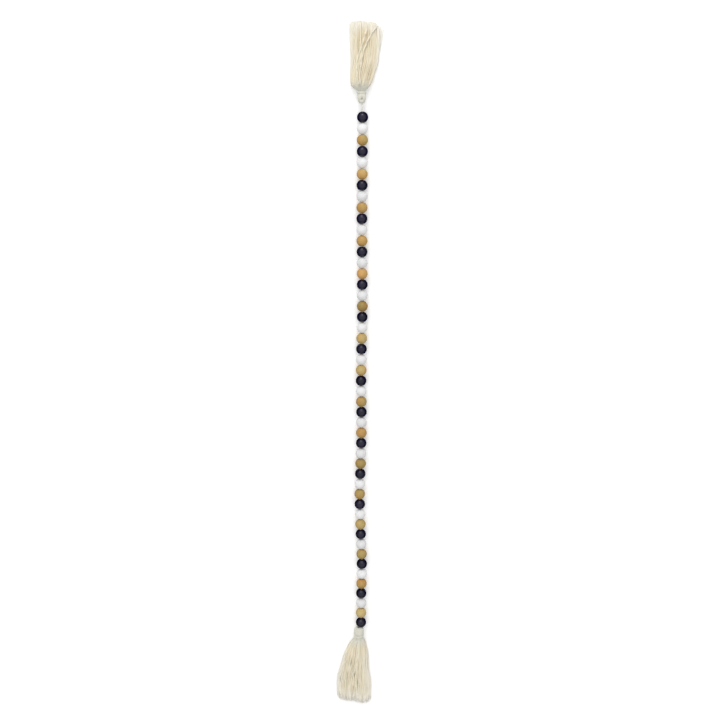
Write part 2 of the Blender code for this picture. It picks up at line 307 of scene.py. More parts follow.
TOP_TASSEL = Tassel(
    name="top",
    head=(
        Section(0.0012, -0.0007, 0.0019, 0.0066, 0.0094),
        Section(0.0000, -0.0022, 0.0034, 0.0050, 0.0104),
        Section(0.0008, -0.0034, 0.0046, 0.0035, 0.0113),
        Section(0.0035, -0.0046, 0.0060, 0.0017, 0.0124),
        Section(0.0070, -0.0052, 0.0069, 0.0006, 0.0135),
        Section(0.0117, -0.0054, 0.0070, 0.0003, 0.0137),
    ),
    head_hollows=(Hollow(0.0052, 0.0010, 0.0016, 0.0014, 0.25, 0.0013),),
    neck_centre=0.0007,
    neck_radius=0.0043,
    skirt=(
        Section(0.0218, -0.0128, 0.0112, 0.0, 0.0152),
        Section(0.0270, -0.0154, 0.0148, 0.0, 0.0160),
        Section(0.0400, -0.0155, 0.0190, 0.0, 0.0150),
        Section(0.0580, -0.0146, 0.0244, 0.0, 0.0132),
        Section(0.0840, -0.0160, 0.0262, 0.0, 0.0112),
        Section(0.1080, -0.0162, 0.0252, 0.0, 0.0096),
    ),
    yarn_ends=(
        YarnEnd(-1.0, 0.1086),
        YarnEnd(-0.8, 0.1106),
        YarnEnd(-0.4, 0.1114),
        YarnEnd(0.0, 0.1098),
        YarnEnd(0.3, 0.1102),
        YarnEnd(0.7, 0.1090),
        YarnEnd(1.0, 0.1014),
    ),
    sweep=0.20,
    hollows=(
        Hollow(0.0900, 0.0040, 0.0130, 0.0075, 0.50, 0.0),
        Hollow(0.0380, 0.0125, 0.0080, 0.0050, 0.26, 0.0),
        Hollow(0.0740, -0.0032, 0.0110, 0.0016, 0.24, 0.0004),
        Hollow(0.0590, 0.0026, 0.0070, 0.0014, 0.22, 0.0003),
        Hollow(0.0980, 0.0205, 0.0060, 0.0018, 0.35, 0.0005),
    ),
    strands=(
        Strand(
            route=(Waypoint(0.0218, -0.0010), Waypoint(0.0400, -0.0024), Waypoint(0.0506, -0.0007),
                   Waypoint(0.0626, 0.0013), Waypoint(0.0814, 0.0078), Waypoint(0.0932, 0.0144),
                   Waypoint(0.1040, 0.0222)),
            yarns=2, radius=YARN_RADIUS, up=1.14, tone=1.25,
        ),
        Strand(
            route=(Waypoint(0.0218, -0.0030), Waypoint(0.0450, -0.0072), Waypoint(0.0600, -0.0060),
                   Waypoint(0.0700, -0.0020), Waypoint(0.0844, 0.0030), Waypoint(0.0990, 0.0075)),
            yarns=2, radius=YARN_RADIUS, up=1.10, tone=1.25,
        ),
        Strand(
            route=(Waypoint(0.0218, 0.0090), Waypoint(0.0400, 0.0170), Waypoint(0.0580, 0.0235),
                   Waypoint(0.0700, 0.0262), Waypoint(0.0785, 0.0280), Waypoint(0.0866, 0.0300),
                   Waypoint(0.1030, 0.0318)),
            yarns=1, radius=WISP_RADIUS, up=-0.5, tone=0.7,
        ),
        Strand(
            route=(Waypoint(0.0218, 0.0092), Waypoint(0.0400, 0.0172), Waypoint(0.0580, 0.0236),
                   Waypoint(0.0760, 0.0264), Waypoint(0.0880, 0.0284), Waypoint(0.1020, 0.0298)),
            yarns=1, radius=WISP_RADIUS, up=0.1, tone=0.6,
        ),
        Strand(
            route=(Waypoint(0.0218, 0.0088), Waypoint(0.0400, 0.0168), Waypoint(0.0580, 0.0232),
                   Waypoint(0.0760, 0.0256), Waypoint(0.0900, 0.0272), Waypoint(0.1040, 0.0280)),
            yarns=2, radius=WISP_RADIUS, up=-0.2, tone=0.9,
        ),
    ),
    # Painted shade: the upper tassel's cotton is deeper in tone to offset the soft box's extra light on it
    deepening=0.30,
    tone_spread=1.0,
    seed=24,
)

BOTTOM_TASSEL = Tassel(
    name="bottom",
    head=(
        Section(0.0010, -0.0046, -0.0008, 0.0058, 0.0096),
        Section(0.0000, -0.0070, 0.0012, 0.0038, 0.0116),
        Section(0.0006, -0.0088, 0.0030, 0.0020, 0.0134),
        Section(0.0026, -0.0102, 0.0043, 0.0007, 0.0147),
        Section(0.0065, -0.0106, 0.0044, 0.0001, 0.0151),
        Section(0.0117, -0.0107, 0.0040, 0.0001, 0.0149),
    ),
    head_hollows=(),
    neck_centre=-0.0034,
    neck_radius=0.0050,
    skirt=(
        Section(0.0230, -0.0156, 0.0070, 0.0, 0.0158),
        Section(0.0300, -0.0198, 0.0085, 0.0, 0.0162),
        Section(0.0450, -0.0262, 0.0112, 0.0, 0.0152),
        Section(0.0680, -0.0328, 0.0121, 0.0, 0.0132),
        Section(0.0930, -0.0376, 0.0154, 0.0, 0.0112),
        Section(0.1200, -0.0368, 0.0152, 0.0, 0.0096),
    ),
    yarn_ends=(
        YarnEnd(-1.0, 0.1146),
        YarnEnd(-0.8, 0.1208),
        YarnEnd(-0.4, 0.1230),
        YarnEnd(0.2, 0.1228),
        YarnEnd(0.42, 0.1266),
        YarnEnd(0.8, 0.1266),
        YarnEnd(1.0, 0.1210),
    ),
    sweep=-0.08,
    hollows=(
        Hollow(0.0569, -0.0154, 0.0036, 0.0012, 0.36, 0.0005),
        Hollow(0.0600, -0.0175, 0.0030, 0.0012, 0.30, 0.0004),
        Hollow(0.0788, -0.0093, 0.0042, 0.0012, 0.36, 0.0005),
        Hollow(0.0921, -0.0043, 0.0036, 0.0012, 0.32, 0.0004),
        Hollow(0.1005, -0.0115, 0.0042, 0.0012, 0.36, 0.0005),
    ),
    strands=(
        Strand(
            route=(Waypoint(0.0230, -0.0020), Waypoint(0.0500, -0.0040), Waypoint(0.0800, -0.0140),
                   Waypoint(0.1210, -0.0220)),
            yarns=1, radius=YARN_RADIUS, up=1.08, tone=0.9,
        ),
        Strand(
            route=(Waypoint(0.0230, 0.0020), Waypoint(0.0500, 0.0060), Waypoint(0.0800, 0.0050),
                   Waypoint(0.1240, 0.0090)),
            yarns=1, radius=YARN_RADIUS, up=1.08, tone=0.9,
        ),
    ),
    deepening=0.0,
    tone_spread=0.5,
    seed=27,
)


# Curves and blends

def ease(start, end, place):
    """Rise softly from 0 at the start to 1 at the end."""
    share = np.clip((place - start) / (end - start), 0.0, 1.0)
    return share * share * (3 - 2 * share)


def smooth_rows(rows, places):
    """Read a smooth curve that doesn't overshoot through rows of (place, value, value...)."""
    rows = np.asarray(rows, float)
    knots, values = rows[:, 0], rows[:, 1:]
    gaps = np.diff(knots)
    slopes = np.diff(values, axis=0) / gaps[:, None]
    tangents = np.zeros_like(values)
    tangents[0], tangents[-1] = slopes[0], slopes[-1]
    same = slopes[:-1] * slopes[1:] > 0
    total = np.where(same, slopes[:-1] + slopes[1:], 1.0)
    tangents[1:-1] = np.where(same, 2 * slopes[:-1] * slopes[1:] / total, 0.0)
    places = np.clip(places, knots[0], knots[-1])
    index = np.clip(np.searchsorted(knots, places) - 1, 0, len(gaps) - 1)
    gap = gaps[index][:, None]
    t = (places - knots[index])[:, None] / gap
    return (values[index] * (2 * t ** 3 - 3 * t ** 2 + 1) + values[index + 1] * (3 * t ** 2 - 2 * t ** 3)
            + gap * (tangents[index] * (t ** 3 - 2 * t ** 2 + t) + tangents[index + 1] * (t ** 3 - t ** 2)))


# Meshes of tubes and turned forms

class Surface:
    """Collects tubes or turned forms, and makes one mesh object of them."""

    def __init__(self):
        self.points = []
        self.faces = []
        self.slots = []
        self.values = {}
        self.count = 0

    def add(self, points, face_blocks, slot=0, **values):
        for block in face_blocks:
            self.faces.extend((np.asarray(block) + self.count).tolist())
            self.slots.extend([slot] * len(block))
        self.points.append(points)
        for name, value in values.items():
            self.values.setdefault(name, []).append(value)
        self.count += len(points)

    def finish(self, name, *materials):
        mesh = bpy.data.meshes.new(name)
        mesh.from_pydata(np.concatenate(self.points).tolist(), [], self.faces)
        for label, blocks in self.values.items():
            data = np.concatenate(blocks).astype(np.float32)
            kind, field = ("FLOAT", "value") if data.ndim == 1 else ("FLOAT_VECTOR", "vector")
            mesh.attributes.new(label, kind, "POINT").data.foreach_set(field, data.ravel())
        mesh.polygons.foreach_set("material_index", self.slots)
        mesh.shade_smooth()
        for material in materials:
            mesh.materials.append(material)
        item = bpy.data.objects.new(name, mesh)
        bpy.context.scene.collection.objects.link(item)
        return item


def stand_for(piece, node):
    """The piece rides on the garland's one body and takes a node's place."""
    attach(piece, "root")
    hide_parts(node)


def ring_quads(rings, sides, closed=False):
    """Quads that join the rings of a tube, whose points are counted ring by ring."""
    ring = np.arange(rings if closed else rings - 1)[:, None] * sides
    following = (ring + sides) % (rings * sides)
    side = np.arange(sides)[None, :]
    after = (side + 1) % sides
    return np.stack((ring + side, following + side, following + after, ring + after), axis=-1).reshape(-1, 4)


def path_frames(path, reference):
    """Tangent, normal and binormal along a path, the normal kept near the reference."""
    tangent = np.gradient(path, axis=0)
    tangent /= np.linalg.norm(tangent, axis=1)[:, None]
    normal = reference - (tangent @ reference)[:, None] * tangent
    normal /= np.linalg.norm(normal, axis=1)[:, None]
    return tangent, normal, np.cross(tangent, normal)


def along_tube(value, rings, sides):
    """A value, or one value a ring, for each point of a tube and for its two tips."""
    value = np.broadcast_to(value, rings)
    return np.concatenate((np.repeat(value, sides), value[[0, -1]]))


def add_tube(surface, path, radius, sides=YARN_SIDES, reference=(0.0, 0.0, 1.0), tone=MIDDLE_TONE,
             pale=0.0, worn=0.0, shift=0.0, slot=0):
    """A closed tube. "strand" keeps where each point lies round the tube and along it, for the twist."""
    path = np.asarray(path)
    rings = len(path)
    radius = np.broadcast_to(radius, rings)
    tangent, normal, binormal = path_frames(path, np.asarray(reference))
    turn = np.arange(sides) * 2 * math.pi / sides
    ring = (np.cos(turn)[None, :, None] * normal[:, None, :]
            + np.sin(turn)[None, :, None] * binormal[:, None, :])
    points = (path[:, None, :] + ring * radius[:, None, None]).reshape(-1, 3)
    run = shift + np.concatenate(([0.0], np.cumsum(np.linalg.norm(np.diff(path, axis=0), axis=1))))
    strand = np.stack(np.broadcast_arrays(np.cos(turn)[None, :], np.sin(turn)[None, :], run[:, None]), -1)
    side = np.arange(sides)
    after = (side + 1) % sides
    count = len(points)
    last = count - sides
    caps = (np.stack((np.full(sides, count), side, after), -1),
            np.stack((np.full(sides, count + 1), last + after, last + side), -1))
    tips = np.array([path[0] - tangent[0] * radius[0] / 2, path[-1] + tangent[-1] * radius[-1] / 2])
    surface.add(np.concatenate((points, tips)), (ring_quads(rings, sides), *caps), slot,
                strand=np.concatenate((strand.reshape(-1, 3), [[1, 0, run[0]], [1, 0, run[-1]]])),
                tone=along_tube(tone, rings, sides), pale=along_tube(pale, rings, sides),
                worn=along_tube(worn, rings, sides))


# Materials

class Nodes:
    """A short way to write the nodes of a material or of the sky."""

    def __init__(self, owner):
        owner.use_nodes = True
        self.owner = owner
        self.tree = owner.node_tree

    def fill(self, node, values=(), links=()):
        for socket, value in dict(values).items():
            node.inputs[socket].default_value = value
        for socket, source in dict(links).items():
            self.tree.links.new(source, node.inputs[socket])

    def add(self, kind, values=(), links=(), **settings):
        node = self.tree.nodes.new("ShaderNode" + kind)
        for key, value in settings.items():
            setattr(node, key, value)
        self.fill(node, values, links)
        return node

    def feed(self, node, values):
        """Each value is a number, a colour or another node's output."""
        for socket, value in values.items():
            if isinstance(value, bpy.types.NodeSocket):
                self.tree.links.new(value, node.inputs[socket])
            elif isinstance(value, tuple):
                node.inputs[socket].default_value = (*value, 1.0)
            else:
                node.inputs[socket].default_value = value

    def shade(self, values=(), links=()):
        self.fill(self.tree.nodes["Principled BSDF"], values, links)

    def attribute(self, name, output="Vector"):
        return self.add("Attribute", attribute_name=name).outputs[output]

    def noise(self, vector, scale, detail=2.0, roughness=0.5):
        node = self.add("TexNoise", {"Scale": scale, "Detail": detail, "Roughness": roughness},
                        {"Vector": vector})
        return node.outputs["Fac"]

    def math(self, operation, first, second=0.0):
        node = self.add("Math", operation=operation)
        self.feed(node, {0: first, 1: second})
        return node.outputs["Value"]

    def weigh(self, share, first, second):
        """A share of the first number and the rest of the second."""
        rest = self.math("MULTIPLY", second, 1 - share)
        return self.math("ADD", self.math("MULTIPLY", first, share), rest)

    def range(self, value, low, high, new_low=0.0, new_high=1.0):
        limits = {"From Min": low, "From Max": high, "To Min": new_low, "To Max": new_high}
        node = self.add("MapRange", limits, {"Value": value})
        return node.outputs["Result"]

    def ramp(self, value, stops):
        node = self.add("ValToRGB", (), {"Fac": value})
        ramp = node.color_ramp
        while len(ramp.elements) < len(stops):
            ramp.elements.new(1.0)
        for element, (place, colour) in zip(ramp.elements, stops):
            element.position = place
            element.color = (*colour, 1.0)
        return node.outputs["Color"]

    def mix(self, share, first, second):
        """Two colours mixed: they enter the node at its inputs 6 and 7, and leave it at its output 2."""
        node = self.add("Mix", data_type="RGBA")
        self.feed(node, {0: share, 6: first, 7: second})
        return node.outputs[2]

    def mix_numbers(self, share, first, second):
        """Two numbers mixed: they enter the node at its inputs 2 and 3, and leave it at its output 0."""
        node = self.add("Mix")
        self.feed(node, {0: share, 2: first, 3: second})
        return node.outputs[0]

    def bump(self, height, distance, strength=1.0, under=None):
        links = {"Height": height}
        if under is not None:
            links["Normal"] = under
        return self.add("Bump", {"Distance": distance, "Strength": strength}, links).outputs["Normal"]


def wood_grain(nodes):
    """Fine fibres and growth rings of a turned ball, from the grain coordinates that each bead holds."""
    grain = nodes.attribute("grain")
    stretch = {"Scale": (1.0, 1.0, GRAIN_STRETCH)}
    stretched = nodes.add("Mapping", stretch, {"Vector": grain}).outputs["Vector"]
    fibres = nodes.noise(stretched, WOOD_FIBRE_SCALE, detail=3.0, roughness=0.6)
    waves = {"Scale": RING_SCALE, "Distortion": RING_DISTORTION, "Detail": 2.0, "Detail Scale": 0.6}
    rings = nodes.add("TexWave", waves, {"Vector": stretched}, wave_type="RINGS", rings_direction="Z",
                      wave_profile="SAW").outputs["Fac"]
    return grain, fibres, rings


def natural_wood():
    """Bare wood, reddish or yellowish, with darker rings and streaks, darkest at the bore's rim."""
    nodes = Nodes(bpy.data.materials.new("natural_wood"))
    grain, fibres, rings = wood_grain(nodes)
    cloud = nodes.noise(grain, WOOD_CLOUD_SCALE, detail=2.0)
    level = nodes.weigh(WOOD_TONE_SHARE, nodes.attribute("tone", "Fac"), cloud)
    hue = nodes.noise(grain, WOOD_HUE_SCALE, detail=0.0)
    base = nodes.mix(nodes.range(hue, *HUE_SPREAD), nodes.ramp(level, REDDISH_WOOD),
                     nodes.ramp(level, YELLOWISH_WOOD))
    ring_mark = nodes.range(rings, low=0.55, high=1.0, new_high=RING_SHARE)
    ringed = nodes.mix(ring_mark, base, RING_BROWN)
    streak = nodes.range(fibres, low=0.56, high=0.76, new_high=STREAK_SHARE)
    streaked = nodes.mix(streak, ringed, STREAK_BROWN)
    dark_rim = nodes.math("MULTIPLY", nodes.attribute("rim", "Fac"), RIM_SHARE)
    colour = nodes.mix(dark_rim, streaked, RIM_BROWN)
    rough = nodes.range(fibres, *NOISE_SPREAD, *WOOD_ROUGHNESS)
    ring_bump = nodes.bump(rings, distance=0.00004, strength=0.5)
    normal = nodes.bump(fibres, distance=0.00006, strength=0.6, under=ring_bump)
    nodes.shade({"Specular IOR Level": WOOD_GLOSS},
                {"Base Color": colour, "Roughness": rough, "Normal": normal})
    return nodes.owner


def painted_wood(paint):
    """Paint over turned wood: the grain shows faintly through it, and it is thin round the bore."""
    nodes = Nodes(bpy.data.materials.new(paint.name))
    grain, fibres, rings = wood_grain(nodes)
    cloud = nodes.noise(grain, PAINT_CLOUD_SCALE, detail=3.0)
    shade = nodes.weigh(PAINT_TONE_SHARE, nodes.attribute("tone", "Fac"), cloud)
    coat = nodes.mix(nodes.range(shade, *TONE_SPREAD), paint.deep, paint.light)
    ragged = nodes.range(cloud, *NOISE_SPREAD, -PAINT_EDGE_SWING, PAINT_EDGE_SWING)
    edge = nodes.math("ADD", nodes.attribute("rim", "Fac"), ragged)
    colour = nodes.mix(nodes.range(edge, *PAINT_EDGE), coat, BARE_WOOD)
    rough = nodes.range(cloud, *NOISE_SPREAD, paint.rough_low, paint.rough_high)
    grain_bump = nodes.bump(fibres, distance=0.00005, strength=0.8)
    ring_bump = nodes.bump(rings, distance=0.00005, strength=0.6, under=grain_bump)
    ripple = nodes.noise(grain, PAINT_RIPPLE_SCALE, detail=2.0)
    normal = nodes.bump(ripple, distance=0.00006, strength=0.45, under=ring_bump)
    nodes.shade({"Specular IOR Level": paint.gloss},
                {"Base Color": colour, "Roughness": rough, "Normal": normal})
    return nodes.owner


def twisted_yarn(cotton):
    """Plied cotton with painted shade in the grooves between the plies, paler in places, partly with painted
    light, and greyer at others.
    """
    nodes = Nodes(bpy.data.materials.new(cotton.name))
    strand = nodes.add("SeparateXYZ", (), {"Vector": nodes.attribute("strand")})
    angle = nodes.math("ARCTAN2", strand.outputs["Y"], strand.outputs["X"])
    run = nodes.math("MULTIPLY", strand.outputs["Z"], 2 * math.pi / cotton.turn)
    phase = nodes.math("MULTIPLY", nodes.math("SUBTRACT", angle, run), float(cotton.plies))
    ply = nodes.range(nodes.math("SINE", phase), low=-1.0, high=1.0)
    rounded_ply = nodes.math("POWER", ply, PLY_ROUNDING)
    place = nodes.add("TexCoord").outputs["Object"]
    lint = nodes.noise(place, LINT_SCALE, detail=3.0, roughness=0.65)
    patches = nodes.noise(place, COTTON_PATCH_SCALE, detail=2.0)
    level = nodes.weigh(COTTON_TONE_SHARE, nodes.attribute("tone", "Fac"), patches)
    dyed = nodes.mix(nodes.range(level, *TONE_SPREAD), cotton.deep, cotton.light)
    # Paler yarn: painted light at the sides, and paler frayed cotton with painted light towards the cut ends
    pale_lit_mixed = nodes.mix(nodes.attribute("pale", "Fac"), dyed, cotton.bleached)
    base = nodes.mix(nodes.attribute("worn", "Fac"), pale_lit_mixed, cotton.handled)
    # Painted shade in the grooves between the plies
    groove = nodes.range(rounded_ply, low=0.0, high=GROOVE_EDGE, new_low=1.0, new_high=0.0)
    groove_shade_colour = tuple(GROOVE_SHADE_TONE * part for part in cotton.deep)
    groove_shaded = nodes.mix(nodes.math("MULTIPLY", groove, GROOVE_SHADE_SHARE), base, groove_shade_colour)
    colour = nodes.mix(nodes.range(lint, low=0.45, high=0.75, new_high=LINT_SHARE), groove_shaded, LINT_WHITE)
    twist = nodes.bump(rounded_ply, cotton.twist_depth, strength=0.8)
    normal = nodes.bump(lint, distance=0.00008, strength=0.6, under=twist)
    nodes.shade({**COTTON_FINISH, "Sheen Weight": YARN_SHEEN}, {"Base Color": colour, "Normal": normal})
    return nodes.owner


def cotton_lint():
    """Frayed plies and loose fibres, too fine for relief."""
    nodes = Nodes(bpy.data.materials.new("cotton_lint"))
    cloud = nodes.noise(nodes.add("TexCoord").outputs["Object"], FRINGE_CLOUD_SCALE, detail=2.0)
    colour = nodes.mix(nodes.range(cloud, low=0.35, high=0.65), *FRINGE_COLOURS)
    nodes.shade({**COTTON_FINISH, "Sheen Weight": FRINGE_SHEEN}, {"Base Color": colour})
    return nodes.owner


def floor_paper():
    nodes = Nodes(bpy.data.materials.new("pale_floor"))
    speckle = nodes.noise(nodes.add("TexCoord").outputs["Object"], FLOOR_SPECKLE_SCALE, detail=3.0)
    colour = nodes.mix(nodes.range(speckle, *NOISE_SPREAD), *FLOOR_COLOURS)
    nodes.shade({"Roughness": 0.95, "Specular IOR Level": 0.1, "Emission Color": (1.0, 1.0, 1.0, 1.0),
                 "Emission Strength": FLOOR_GLOW}, {"Base Color": colour})
    return nodes.owner


# Beads

def bead_profile():
    """Section of a drilled ball with rounded rims, as (radius, along, closeness to the bore)."""
    rim_angle = math.asin((BORE_RADIUS + RIM_ROUNDING) / BEAD_RADIUS)
    edge_along = BEAD_RADIUS * math.cos(rim_angle)
    half = [(BORE_RADIUS, 0.0, 1.0)]
    for step in range(RIM_STEPS + 1):
        share = step / RIM_STEPS
        turn = share * math.pi / 2
        half.append((BORE_RADIUS + RIM_ROUNDING * (1 - math.cos(turn)),
                     edge_along - RIM_ROUNDING * (1 - math.sin(turn)), 1.0 - RIM_WEAR_DROP * share))
    for step in range(1, HALF_BALL_STEPS + 1):
        angle = rim_angle + (math.pi / 2 - rim_angle) * step / HALF_BALL_STEPS
        half.append((BEAD_RADIUS * math.sin(angle), BEAD_RADIUS * math.cos(angle),
                     max(0.0, (1 - RIM_WEAR_DROP) * (1 - (angle - rim_angle) / RIM_WEAR_ANGLE))))
    mirrored = [(radius, -along, closeness) for radius, along, closeness in reversed(half[1:-1])]
    return np.array(half + mirrored)


def bead_centre(number):
    low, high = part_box(f"bead_{number:02d}")
    return (Vector(low) + Vector(high)) / 2


def bead_heading(number):
    """Turn of the bead about the upright, which follows its neighbours."""
    run = bead_centre(max(1, number - 1)) - bead_centre(min(BEAD_COUNT, number + 1))
    return -math.atan2(run.x, run.y)


def add_bead(number, finish, material, profile, chance):
    """One turned ball, rolled and leaning by chance, cut from its own place in the wood."""
    turn = np.arange(BEAD_SIDES) * 2 * math.pi / BEAD_SIDES
    radius, along, closeness = profile.T
    points = np.stack(np.broadcast_arrays(radius[None, :] * np.sin(turn)[:, None], along[None, :],
                                          radius[None, :] * np.cos(turn)[:, None]), -1)
    points = points.reshape(-1, 3) * (1 - chance.uniform(0.0, BEAD_SHRINK))
    lie = Euler((chance.uniform(-BEAD_LEAN, BEAD_LEAN), chance.uniform(-math.pi, math.pi),
                 bead_heading(number) + chance.uniform(-BEAD_LEAN, BEAD_LEAN))).to_matrix()
    grain_turn = Euler([chance.uniform(-math.pi, math.pi) for _ in range(3)]).to_matrix()
    grain_place = [chance.uniform(*limits) for limits in GRAIN_PLACES]
    surface = Surface()
    surface.add(points @ np.array(lie).T, (ring_quads(BEAD_SIDES, len(profile), closed=True),),
                grain=points @ np.array(grain_turn).T + grain_place,
                rim=np.tile(closeness, BEAD_SIDES),
                tone=np.full(len(points), chance.random()))
    bead = surface.finish(f"{finish}_bead_{number:02d}", material)
    bead.location = bead_centre(number)
    stand_for(bead, f"bead_{number:02d}")


def add_beads():
    materials = {
        "navy": painted_wood(NAVY_PAINT),
        "white": painted_wood(WHITE_PAINT),
        "natural": natural_wood(),
    }
    chance = random.Random(BEAD_SEED)
    profile = bead_profile()
    for number in range(1, BEAD_COUNT + 1):
        finish = BEAD_FINISHES[(number - 1) % len(BEAD_FINISHES)]
        add_bead(number, finish, materials[finish], profile, chance)


# Cord

def add_cord(material):
    """Three plies wound round the cord's route, from one tassel's head through every bead to the other's."""
    low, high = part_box("cord")
    route = [(-high[1] - CORD_TUCK, TOP_TASSEL.neck_centre, BEAD_RADIUS)]
    route += [(-centre.y, centre.x, centre.z) for centre in map(bead_centre, range(1, BEAD_COUNT + 1))]
    route.append((-low[1] + CORD_TUCK, bead_centre(BEAD_COUNT).x, BEAD_RADIUS))
    length = route[-1][0] - route[0][0]
    run = np.linspace(route[0][0], route[-1][0], int(length / PLY_TURN * PLY_POINTS_PER_TURN))
    middle = smooth_rows(route, run)
    offset = CORD_RADIUS - PLY_RADIUS
    surface = Surface()
    for ply in range(CORD_PLIES):
        turn = 2 * math.pi * ((run - run[0]) / PLY_TURN + ply / CORD_PLIES)
        path = np.stack((middle[:, 0] + offset * np.cos(turn), -run,
                         middle[:, 1] + offset * np.sin(turn)), -1)
        add_tube(surface, path, PLY_RADIUS, tone=ply / (CORD_PLIES - 1))
    stand_for(surface.finish("cotton_cord", material), "cord")


# Tassels

def neck_section(tassel, along):
    radius = tassel.neck_radius + NECK_FULLNESS
    height = tassel.neck_radius + BINDING_THICKNESS
    return Section(along, tassel.neck_centre - radius, tassel.neck_centre + radius,
                   height - radius, height + radius)


def shoulder_section(tassel):
    """Beside the binding the yarn swells to the binding's width."""
    radius = tassel.neck_radius + BINDING_THICKNESS
    return Section(SHOULDER, tassel.neck_centre - radius, tassel.neck_centre + radius, 0.0, 2 * radius)


def skirt_sections(tassel, along):
    """Left, right, low and high of the yarn's mass, from the neck to the cut ends."""
    rows = [neck_section(tassel, NECK_START), neck_section(tassel, NECK_END), shoulder_section(tassel),
            *tassel.skirt]
    return smooth_rows(rows, along).T


def yarn_end(tassel, across):
    places, ends = zip(*tassel.yarn_ends)
    return float(np.interp(across, places, ends))


def yarn_run(end):
    """Places along a yarn from the neck to its end, closest together at the neck."""
    return NECK_START + (end - NECK_START) * np.linspace(0.0, 1.0, YARN_POINTS) ** YARN_CROWDING


def yarn_radii(along, radius=YARN_RADIUS):
    """A yarn is pressed thin in the neck, and soon has its full thickness."""
    return NECK_YARN_RADIUS + (radius - NECK_YARN_RADIUS) * ease(NECK_END, FULL_YARN_REACH, along)


def hollowed(hollow, along, x, z, radius, up):
    """Press the upper yarns down at a hollow, and part them from its middle."""
    near = np.exp(-((along - hollow.along) / hollow.length) ** 2) * np.clip(up - HOLLOWS_DOWN_TO, 0.0, 1.0)
    side = (x - hollow.x) / hollow.width
    pressed = radius + (z - radius) * (1 - hollow.depth * near * np.exp(-side ** 2))
    parting = hollow.parting * np.tanh(PARTING_STEEPNESS * side) * near
    return x + parting * np.exp(-np.abs(side) / PARTING_REACH), pressed


def yarn_places(tassel, across, up, along, radius):
    """Sideways place and height of a yarn's middle line: a round neck that opens into a flat-lying skirt."""
    left, right, low, high = skirt_sections(tassel, along)
    centre = (left + right) / 2
    half = (right - left) / 2 - radius
    round_across, round_up = np.clip(across, -1, 1), np.clip(up, -1, 1)
    neck_x = centre + half * round_across * np.sqrt(1 - round_up ** 2 / 2)
    neck_z = (low + high) / 2 + ((high - low) / 2 - radius) * round_up * np.sqrt(1 - round_across ** 2 / 2)
    skirt_x = centre + half * across * (1 - SIDE_ROUNDING * round_up ** 2)
    skirt_z = radius + (high * (1 - SIDE_DROP * across ** 2) - 2 * radius) * (up + 1) / 2
    opened = ease(NECK_END, tassel.skirt[1].along, along)
    return neck_x + (skirt_x - neck_x) * opened, neck_z + (skirt_z - neck_z) * opened


def make_locks(chance):
    """Locks set off against each other row by row, each with its own twist, sway, lift and tone."""
    locks = []
    for column in range(LOCK_COLUMNS + 1):
        for row in range(LOCK_ROWS):
            stagger = ROW_STAGGER if row % 2 else -ROW_STAGGER
            across = (-1 + (2 * column + 1 + 2 * stagger) / LOCK_COLUMNS) * LOCK_REACH
            locks.append(Lock(
                across=max(-1.0, min(1.0, across)), up=-1 + (2 * row + 1) / LOCK_ROWS,
                twist=chance.choice((-1, 1)) * chance.uniform(*LOCK_TWISTS),
                sway=chance.uniform(*LOCK_SWAYS), sway_length=chance.uniform(*LOCK_SWAY_LENGTHS),
                sway_start=chance.uniform(0.0, 2 * math.pi), lift=chance.uniform(*LOCK_LIFTS),
                tone=chance.random()))
    return locks


def nearest_lock(locks, across, up):
    return min(locks, key=lambda lock: math.hypot((lock.across - across) * LOCK_COLUMNS,
                                                  (lock.up - up) * LOCK_ROWS))


def skirt_yarn(tassel, across, up, lock, end, chance):
    """Along, sideways, height and radius of one yarn, which winds with its lock from the neck to its end."""
    along = yarn_run(end)
    radius = yarn_radii(along)
    loose = ease(LOOSE_START, LOOSE_END, along)
    turn = lock.twist * np.maximum(along - LOOSE_START, 0.0)
    aside = (across - lock.across) * LOCK_HALF_WIDTH * (1 - LOCK_PULL * loose)
    above = (up - lock.up) * LOCK_HALF_HEIGHT * (1 - LOCK_PULL * loose)
    wound_across = lock.across + (aside * np.cos(turn) - above * np.sin(turn)) / LOCK_HALF_WIDTH
    wound_up = lock.up + (above * np.cos(turn) + aside * np.sin(turn)) / LOCK_HALF_HEIGHT
    sway = lock.sway * np.sin(2 * math.pi * along / lock.sway_length + lock.sway_start)
    lean = tassel.sweep * np.maximum(wound_up, 0.0) * ease(NECK_END, end, along)
    laid_across = (wound_across + sway * loose) * (1 - np.abs(lean)) + lean
    laid_up = np.clip(wound_up + lock.lift * loose, -1.0, CROWN_LIMIT)
    x, z = yarn_places(tassel, np.clip(laid_across, -SIDE_LIMIT, SIDE_LIMIT), laid_up, along, radius)
    for hollow in tassel.hollows:
        x, z = hollowed(hollow, along, x, z, radius, laid_up)
    wave = chance.uniform(*YARN_WAVES) * np.sin(2 * math.pi * along / chance.uniform(*YARN_WAVE_LENGTHS)
                                                + chance.uniform(0, 2 * math.pi))
    return along, x + wave * loose, np.maximum(z, radius), radius


def head_yarn(tassel, around):
    """Along, sideways, height and radius of one yarn over the head, from the cord to the neck."""
    rows = [*tassel.head, neck_section(tassel, NECK_START)]
    table = [(float(number), *row) for number, row in enumerate(rows)]
    steps = np.linspace(0.0, len(rows) - 1.0, HEAD_POINTS)
    along, left, right, low, high = smooth_rows(table, steps).T
    radius = (TIP_YARN_RADIUS + (YARN_RADIUS - TIP_YARN_RADIUS) * ease(*HEAD_SWELL, steps)
              - (YARN_RADIUS - NECK_YARN_RADIUS) * ease(*HEAD_NARROWING, steps))
    x = (left + right) / 2 + ((right - left) / 2 - radius * HEAD_INSET) * math.cos(around)
    z = (low + high) / 2 + ((high - low) / 2 - radius * HEAD_INSET) * math.sin(around)
    for hollow in tassel.head_hollows:
        x, z = hollowed(hollow, along, x, z, radius, math.sin(around))
    return along, x, z, radius


def square_place(around):
    """Point on the edge of the square that lies in a direction."""
    x, z = math.cos(around), math.sin(around)
    size = max(abs(x), abs(z))
    return x / size, z / size


